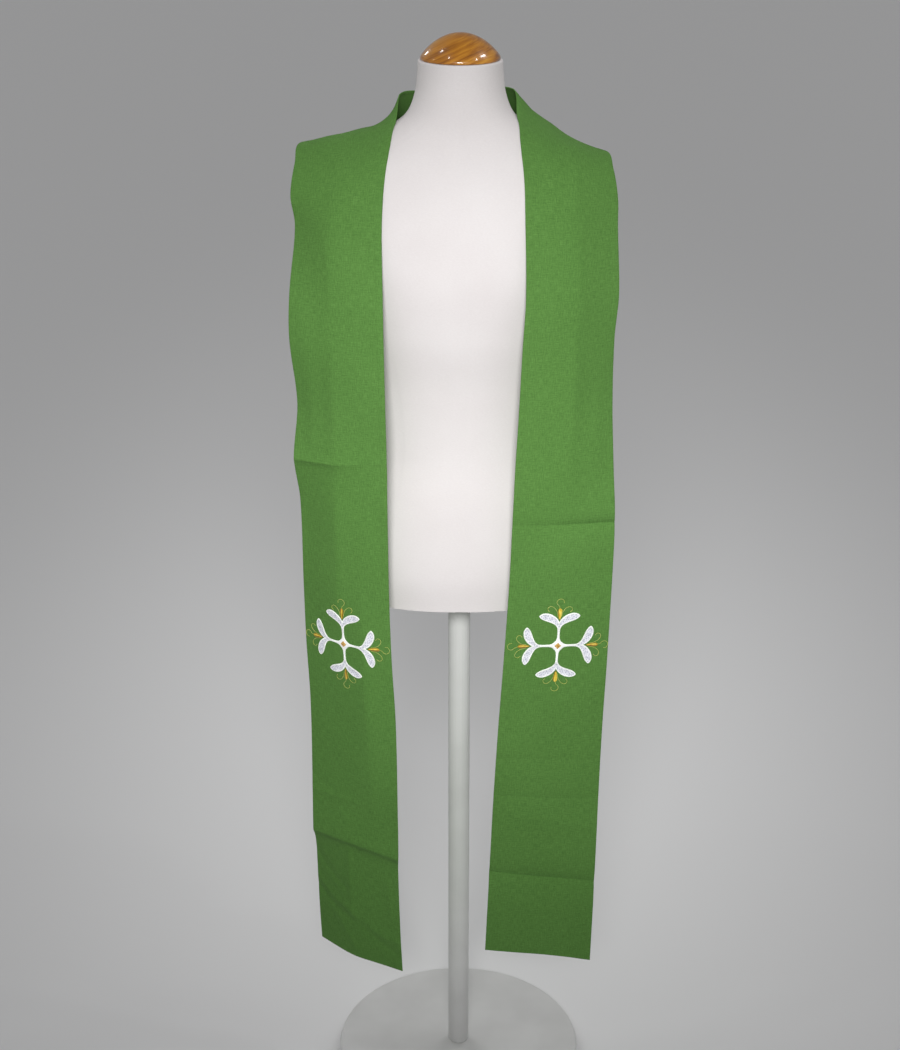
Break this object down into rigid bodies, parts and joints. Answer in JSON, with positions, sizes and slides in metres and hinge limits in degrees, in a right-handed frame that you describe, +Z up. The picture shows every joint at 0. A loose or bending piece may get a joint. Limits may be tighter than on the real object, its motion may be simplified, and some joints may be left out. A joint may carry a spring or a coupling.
{
  "type": "clerical stole on a dress form",
  "caption": "Tapered green stole that hangs round the neck and down the front, with a leafy cross embroidered near each hem, on a limbless dress form with a round base.",
  "frame": {"origin": "on the floor, under the middle of the round base", "axes": "+Z up, the form faces -Y, and the wearer's left is at +X"},
  "size_m": [0.4375, 0.38, 1.5747],
  "materials": {
    "stole_cloth": "matt, finely heathered plain weave",
    "white_thread": "satin stitch, soft sheen",
    "gold_thread": "satin stitch, soft sheen",
    "form_jersey": "matt fine jersey",
    "varnished_wood": "glossy orange-brown varnish",
    "painted_steel": "semi-gloss light grey"
  },
  "bodies": {
    "root": {"stole_half_right": "stole_cloth", "stole_half_left": "stole_cloth", "cross_right": "white_thread", "cross_left": "white_thread", "cross_centre_right": "gold_thread", "cross_centre_left": "gold_thread", "bud_right_out": "gold_thread", "bud_right_up": "gold_thread", "bud_right_in": "gold_thread", "bud_right_down": "gold_thread", "bud_left_out": "gold_thread", "bud_left_up": "gold_thread", "bud_left_in": "gold_thread", "bud_left_down": "gold_thread", "form_torso": "form_jersey", "form_neck_cap": "varnished_wood", "form_pole": "painted_steel", "form_base": "painted_steel"}
  },
  "joints": []
}
